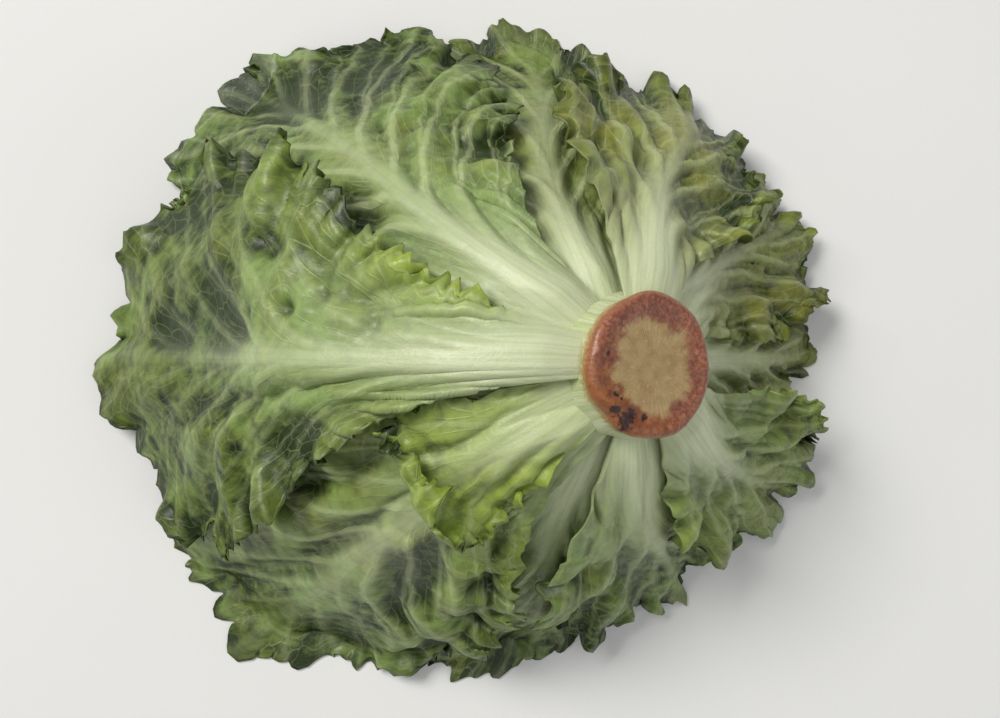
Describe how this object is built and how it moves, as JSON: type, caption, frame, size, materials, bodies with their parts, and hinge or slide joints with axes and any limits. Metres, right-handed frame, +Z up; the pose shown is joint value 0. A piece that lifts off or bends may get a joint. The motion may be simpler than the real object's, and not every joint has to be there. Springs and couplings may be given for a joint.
{
  "type": "gentilina lettuce",
  "caption": "Loose leaf lettuce head with frilled green leaves, cut at the root and lying crown down with its cut stem on top.",
  "frame": {"origin": "on the table, under the middle of the head's box", "axes": "+Z up; +X is the way that the cut stem on top leans, and the longest leaves run towards -X"},
  "size_m": [0.2646, 0.2428, 0.1101],
  "materials": {
    "cut_stem": "moist cut face, browned at its rim",
    "outer_leaf": "satin, waxy leaf back",
    "inner_leaf": "satin, waxy leaf back",
    "heart": "satin, pale young leaf"
  },
  "bodies": {
    "root": {"stem": "cut_stem", "outer_leaf_1": "outer_leaf", "outer_leaf_2": "outer_leaf", "outer_leaf_3": "outer_leaf", "outer_leaf_4": "outer_leaf", "outer_leaf_5": "outer_leaf", "outer_leaf_6": "outer_leaf", "outer_leaf_7": "outer_leaf", "outer_leaf_8": "outer_leaf", "outer_leaf_9": "outer_leaf", "outer_leaf_10": "outer_leaf", "outer_leaf_11": "outer_leaf", "inner_leaf_1": "inner_leaf", "inner_leaf_2": "inner_leaf", "inner_leaf_3": "inner_leaf", "inner_leaf_4": "inner_leaf", "inner_leaf_5": "inner_leaf", "inner_leaf_6": "inner_leaf", "inner_leaf_7": "inner_leaf", "inner_leaf_8": "inner_leaf", "inner_leaf_9": "inner_leaf", "heart": "heart"}
  },
  "joints": []
}
